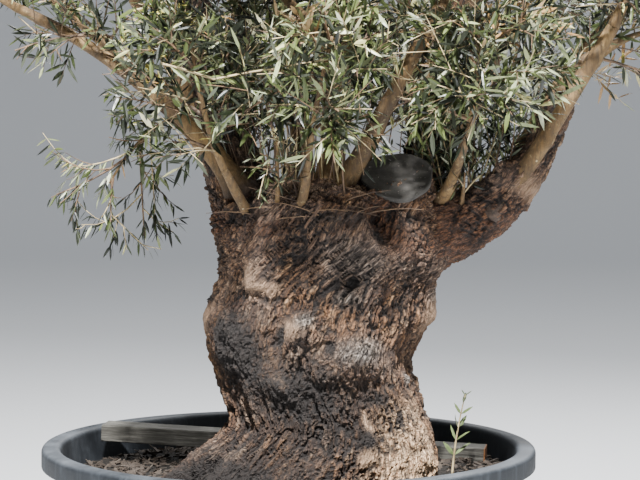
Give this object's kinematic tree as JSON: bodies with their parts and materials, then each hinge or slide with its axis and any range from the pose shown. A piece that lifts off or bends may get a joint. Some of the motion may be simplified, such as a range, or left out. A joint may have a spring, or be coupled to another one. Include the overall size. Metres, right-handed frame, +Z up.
{
  "type": "olive bonsai tree",
  "caption": "Old olive grown as a giant bonsai: a short burred trunk that forks into stout arms and leafy boughs, in a round nursery container of soil.",
  "frame": {"origin": "centre of the container's flat foot, on the surface that it stands on", "axes": "+Z up; +X to the right and +Y away from the viewer in the picture's view"},
  "size_m": [1.8712, 1.2014, 2.3597],
  "materials": {
    "container_plastic": "black moulded polyethylene, weathered and dusty grey on the rim",
    "soil": "rough composted bark and loam with chips on top",
    "timber": "sawn softwood, weathered grey",
    "old_bark": "deeply fissured and burred old bark, dry and matt",
    "smooth_bark": "smooth tan bark of younger limbs, dry",
    "leaf": "leathery leaves, dark grey-green above and silvery below"
  },
  "bodies": {
    "root": {"arm_back": "old_bark", "arm_left": "old_bark", "arm_right": "old_bark", "batten": "timber", "bough_back": "smooth_bark", "bough_back_left": "smooth_bark", "bough_back_right": "smooth_bark", "bough_back_upper": "smooth_bark", "bough_centre": "smooth_bark", "bough_front_left": "smooth_bark", "bough_front_middle": "smooth_bark", "bough_front_right": "smooth_bark", "bough_front_upper": "smooth_bark", "bough_left": "smooth_bark", "bough_left_back": "smooth_bark", "bough_left_inner": "smooth_bark", "bough_middle": "smooth_bark", "bough_right_back": "smooth_bark", "bough_right_front": "smooth_bark", "bough_top": "smooth_bark", "bough_upper_right": "smooth_bark", "container": "container_plastic", "foliage_back": "leaf", "foliage_back_left": "leaf", "foliage_back_right": "leaf", "foliage_burr_sprout": "leaf", "foliage_centre": "leaf", "foliage_fork": "leaf", "foliage_front_left": "leaf", "foliage_front_middle": "leaf", "foliage_front_right": "leaf", "foliage_front_upper": "leaf", "foliage_hanging": "leaf", "foliage_inner_left": "leaf", "foliage_inner_right": "leaf", "foliage_left": "leaf", "foliage_left_back": "leaf", "foliage_left_inner": "leaf", "foliage_left_low": "leaf", "foliage_right": "leaf", "foliage_right_front": "leaf", "foliage_right_low": "leaf", "foliage_top": "leaf", "foliage_upper_back": "leaf", "foliage_upper_back_right": "leaf", "foliage_upper_front": "leaf", "foliage_upper_left": "leaf", "foliage_upper_right": "leaf", "potting_soil": "soil", "root_sucker": "leaf", "trunk": "old_bark"}
  },
  "joints": []
}
